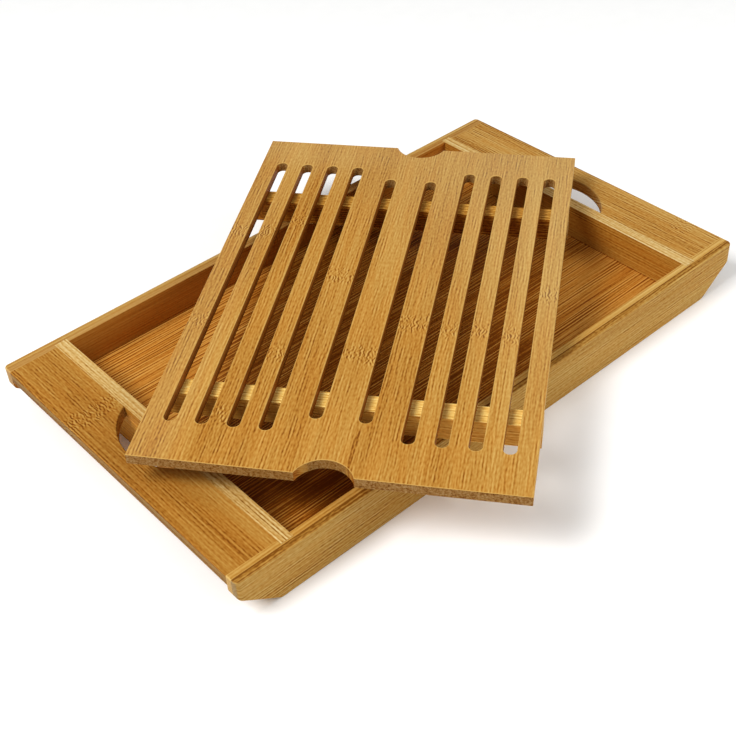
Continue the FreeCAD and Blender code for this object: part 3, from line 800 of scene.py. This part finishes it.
LOOKS = {
    "board": bamboo(
        "golden_bamboo",
        turn=ALONG_SLOTS,
        middle=(0.414, 0.199, 0.035),
        seed=2.0,
        origin=BOARD_MIDDLE,
        speck=0.5,
        fine=0.72,
        strip_contrast=0.0,
        knots=BOARD_KNOTS,
        knot_contrast=1.36,
        shade=board_shade,
        # The finish gets a painted sheen, paler towards the right and the far end.
        painted_sheen=board_painted_sheen,
        # The walls of the slots are darkened as painted shade.
        sides=((0.68, 0.46, 0.30), slot_wall_painted_shade),
        cut=(0.60, 0.60, 0.85),
    ),
    "batten": bamboo(
        "straw_bamboo_batten",
        turn=ACROSS_SLOTS,
        middle=(0.84, 0.52, 0.12),
        seed=5.0,
        origin=BOARD_MIDDLE,
        fine=0.7,
        medium=0.12,
        broad=0.12,
        shade=batten_tones_and_painted_shade,
        sides=((0.60, 0.42, 0.26), EVERYWHERE),
        cut=(0.62, 0.60, 0.75),
        cut_contrast=1.3,
    ),
    "left_handle": bamboo(
        "caramel_bamboo_left",
        turn=ALONG_Y,
        middle=(0.35, 0.156, 0.0235),
        seed=8.0,
        fine=0.72,
        lengths=(12.0, 110.0),
        long_share=left_handle_lines,
        knots=LEFT_HANDLE_KNOTS,
        knot_contrast=1.36,
        shade=left_handle_shade,
        sides=((0.67, 0.74, 0.84), outwards),
        arris_highlight=0.0,
    ),
    "right_handle": bamboo(
        "caramel_bamboo_right",
        turn=ALONG_Y,
        middle=(0.42, 0.217, 0.046),
        seed=9.0,
        speck=0.4,
        fine=1.1,
        lengths=(14.0, 90.0),
        long_share=EVENLY_MIXED,
        medium=0.4,
        broad=0.5,
        knots=RIGHT_HANDLE_KNOTS,
        shade=right_handle_shade,
        arris_highlight=0.3,
    ),
    "wall": bamboo(
        "straw_bamboo_wall",
        turn=ALONG_Y,
        middle=(0.51, 0.325, 0.108),
        seed=12.0,
        fine=0.85,
        lengths=(20.0, 110.0),
        long_share=MOSTLY_LONG,
        medium=0.15,
        shade=wall_shade,
        sides=((0.82, 0.53, 0.19), EVERYWHERE),
    ),
    "near_inner": bamboo(
        "golden_bamboo_near_rail",
        middle=(0.450, 0.243, 0.053),
        seed=14.0,
        shade=near_inner_painted_sheen,
        **RAIL_GRAIN,
    ),
    "near_outer": bamboo(
        "olive_bamboo_near_rail",
        turn=ALONG_X,
        middle=(0.395, 0.213, 0.045),
        seed=16.0,
        fine=0.9,
        width=RAIL_FIBRE_WIDTH,
        lengths=(22.0, 100.0),
        long_share=EVENLY_MIXED,
        medium=0.15,
        shade=near_outer_shade,
        cut=(0.70, 0.82, 1.5),
        cut_contrast=0.8,
        arris_highlight=0.1,
    ),
    "far_inner": bamboo(
        "golden_bamboo_far_rail",
        middle=(0.365, 0.181, 0.041),
        seed=17.0,
        sides=((1.2, 0.88, 0.45), EVERYWHERE),
        **RAIL_GRAIN,
    ),
    "far_outer": bamboo(
        "pale_bamboo_far_rail",
        middle=(0.41, 0.226, 0.054),
        seed=18.0,
        shade=glue_line,
        **RAIL_GRAIN,
    ),
    "floor": bamboo(
        "dark_bamboo_floor",
        turn=ALONG_X,
        middle=(0.487, 0.195, 0.026),
        seed=19.0,
        speck=0.3,
        fine=1.2,
        lengths=(16.0, 60.0),
        long_share=MOSTLY_LONG,
        medium=0.5,
        lines=0.45,
        strip=18.0,
        strip_contrast=0.1,
        shade=floor_shade,
    ),
    "dowel": bamboo("pale_dowel_wood", turn=ALONG_Y, middle=(0.60, 0.42, 0.19), seed=21.0),
    "steel": screw_steel(),
}

# The look of each CAD node, by how its name starts.
LOOK_BY_NAME = {
    "rail_near_inner": "near_inner",
    "rail_near_outer": "near_outer",
    "rail_far_inner": "far_inner",
    "rail_far_outer": "far_outer",
    "end_wall": "wall",
    "floor_panel": "floor",
    "handle_board_left": "left_handle",
    "handle_board_right": "right_handle",
    "handle_dowels": "dowel",
    "slat": "board",
    "spacer_blocks": "board",
    "batten_near": "batten",
    "batten_far": "batten",
    "batten_screws": "steel",
}


def dress_nodes():
    """Gives every CAD node its material."""
    for name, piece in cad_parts.items():
        look = next(look for start, look in LOOK_BY_NAME.items() if name.startswith(start))
        piece.data.materials.clear()
        piece.data.materials.append(LOOKS[look])


# The studio
# ----------

# The camera, solved from the photograph's straight edges for a picture 736 pixels wide.
PICTURE_WIDTH = 736
FOCAL_PIXELS = 1235.06
SENSOR = 36.0
AZIMUTH = math.radians(-39.28)
ELEVATION = math.radians(41.06)
ROLL = math.radians(-3.76)
DISTANCE = 0.9337
AIM = Vector((-0.02957, -0.01528, 0.0))
CLIP_START = 0.01

# The studio's floor reaches this far from its middle and lies just under the tray.
FLOOR_REACH = 3.0
FLOOR_DEPTH = 0.0003

# Its paper: the mottle in metres, the two whites with their stops, and the finish.
PAPER_MOTTLE = (0.02, 0.02, 0.02)
PAPER_SEED = 4.0
PAPER_STOPS = ((0.2, (0.93, 0.93, 0.92, 1.0)), (0.8, (0.95, 0.95, 0.94, 1.0)))
PAPER_ROUGHNESS = 0.9
PAPER_SPECULAR = 0.1

# The surround's strength, and each lamp's place, size and power. The key light comes from the
# left and gives the slotted board its shadow, and the fill light comes from the front.
SURROUND = 0.45
LAMPS = {
    "key_light": ((-1.2, 0.13, 1.6), 0.85, 36),
    "fill_light": ((0.95, -1.24, 0.9), 1.0, 14),
}


def place_camera():
    """A camera that looks at the aim from an azimuth, an elevation and a distance, rolled."""
    back = Vector(
        (
            math.sin(AZIMUTH) * math.cos(ELEVATION),
            -math.cos(AZIMUTH) * math.cos(ELEVATION),
            math.sin(ELEVATION),
        )
    )
    right = (-back).cross(Vector((0, 0, 1))).normalized()
    up = right.cross(-back)
    right_rolled = right * math.cos(ROLL) + up * math.sin(ROLL)
    up_rolled = up * math.cos(ROLL) - right * math.sin(ROLL)
    turn = Matrix((right_rolled, up_rolled, back)).transposed()
    lens = bpy.data.cameras.new("camera")
    lens.sensor_width = SENSOR
    lens.lens = FOCAL_PIXELS / PICTURE_WIDTH * SENSOR
    lens.clip_start = CLIP_START
    camera = bpy.data.objects.new("camera", lens)
    camera.matrix_world = Matrix.Translation(AIM + back * DISTANCE) @ turn.to_4x4()
    bpy.context.scene.collection.objects.link(camera)
    bpy.context.scene.camera = camera


def white_paper():
    """Matt white paper, faintly mottled."""
    graph = Graph("white_paper")
    place = graph.add("ShaderNodeTexCoord").outputs["Object"]
    mottle = graph.noise(place, PAPER_MOTTLE, PAPER_SEED, detail=2)
    colour = graph.tones(mottle, PAPER_STOPS)
    graph.surface(colour, PAPER_ROUGHNESS, **{SPECULAR_SOCKET: PAPER_SPECULAR})
    return graph.material


def lay_floor():
    """A wide white sheet under the tray."""
    mesh = bpy.data.meshes.new("studio_floor")
    signs = ((-1, -1), (1, -1), (1, 1), (-1, 1))
    corners = [(x * FLOOR_REACH, y * FLOOR_REACH, 0) for x, y in signs]
    mesh.from_pydata(corners, [], [(0, 1, 2, 3)])
    mesh.materials.append(white_paper())
    floor = bpy.data.objects.new("studio_floor", mesh)
    floor.location.z = -FLOOR_DEPTH
    bpy.context.scene.collection.objects.link(floor)


def add_lamp(name, place, size, power):
    """A square soft light at a place, turned to the tray's middle."""
    light = bpy.data.lights.new(name, "AREA")
    light.shape = "SQUARE"
    light.size = size
    light.energy = power
    lamp = bpy.data.objects.new(name, light)
    lamp.location = place
    lamp.rotation_euler = (-Vector(place)).to_track_quat("-Z", "Y").to_euler()
    bpy.context.scene.collection.objects.link(lamp)


def light_studio():
    """An even white surround and the lamps."""
    world = bpy.data.worlds.new("studio")
    world.use_nodes = True
    backdrop = world.node_tree.nodes["Background"]
    backdrop.inputs["Color"].default_value = (1, 1, 1, 1)
    backdrop.inputs["Strength"].default_value = SURROUND
    bpy.context.scene.world = world
    for name, (place, size, power) in LAMPS.items():
        add_lamp(name, place, size, power)


dress_nodes()
place_camera()
lay_floor()
light_studio()
bpy.context.scene.view_settings.view_transform = "Standard"
